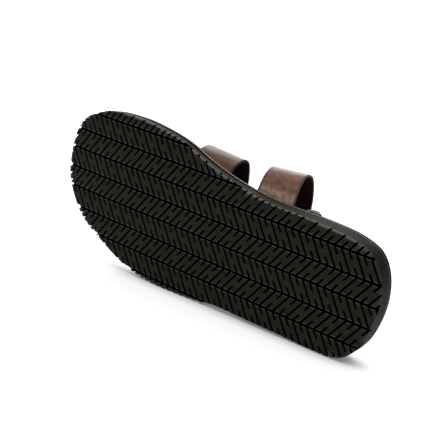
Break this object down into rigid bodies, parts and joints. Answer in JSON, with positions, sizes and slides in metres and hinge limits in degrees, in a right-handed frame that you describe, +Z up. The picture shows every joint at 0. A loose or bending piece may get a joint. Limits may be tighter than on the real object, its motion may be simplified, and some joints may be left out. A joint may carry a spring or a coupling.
{
  "type": "slide sandal",
  "caption": "Right slide sandal with broad leather straps over a padded footbed and a flat lugged rubber sole, lying on its outer side.",
  "frame": {"origin": "middle of the bounding box, on the surface that the sandal lies on", "axes": "+X from the toe to the heel, +Y from the tread to the footbed, +Z up, towards the inner side of the foot"},
  "size_m": [0.285, 0.0676, 0.1225],
  "materials": {
    "sole_rubber": "matt moulded rubber, black with a green tinge",
    "edge_leather": "dark painted edge",
    "footbed_leather": "smooth brown leather with a soft sheen",
    "strap_leather": "smooth mottled brown leather with a soft sheen"
  },
  "bodies": {
    "root": {"outsole": "sole_rubber", "midsole": "edge_leather", "footbed": "footbed_leather", "strap_front": "strap_leather", "strap_rear": "strap_leather"}
  },
  "joints": []
}
